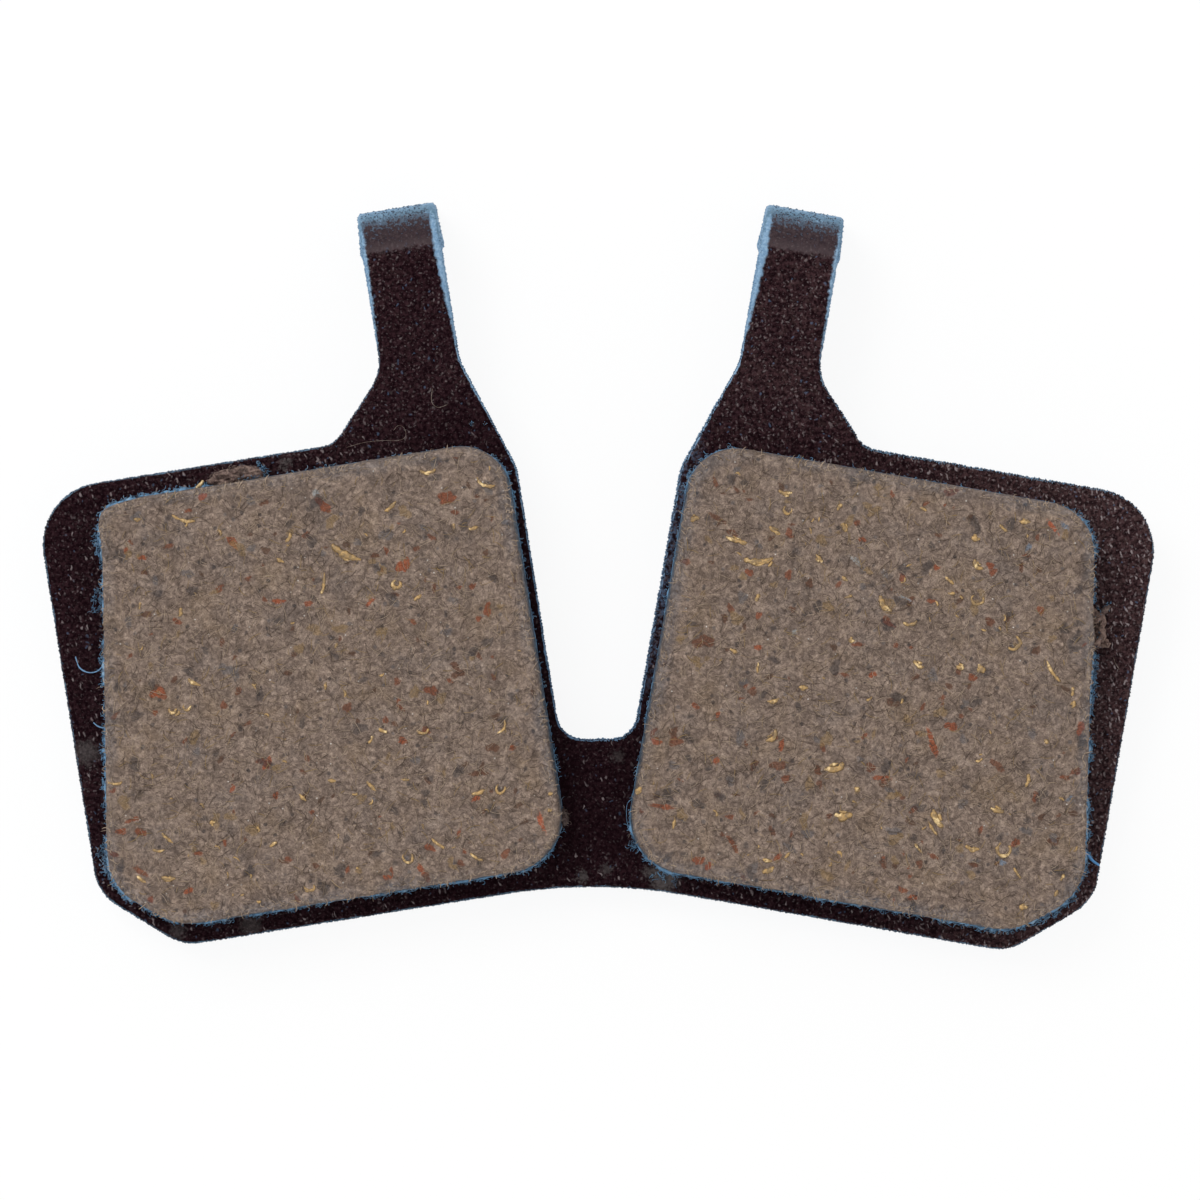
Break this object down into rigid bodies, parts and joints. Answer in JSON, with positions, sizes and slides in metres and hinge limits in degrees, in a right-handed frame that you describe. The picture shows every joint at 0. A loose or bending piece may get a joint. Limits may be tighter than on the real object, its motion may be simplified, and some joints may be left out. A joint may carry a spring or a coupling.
{
  "type": "bicycle disc brake pad",
  "caption": "Fan-shaped steel brake pad plate with bonded friction blocks, an open pin gap between them and arms ending in bent tabs, for a bicycle disc brake caliper.",
  "frame": {"origin": "middle of the bridge, on the plate's back face", "axes": "+X across the pad to the right block as seen from the friction side, +Y towards the tabs, +Z out of the friction faces"},
  "size_m": [0.0484, 0.0324, 0.0065],
  "materials": {
    "plate": "satin",
    "lining": "matte"
  },
  "bodies": {
    "root": {"backing_plate": "plate", "left_friction_block": "lining", "right_friction_block": "lining"}
  },
  "joints": []
}
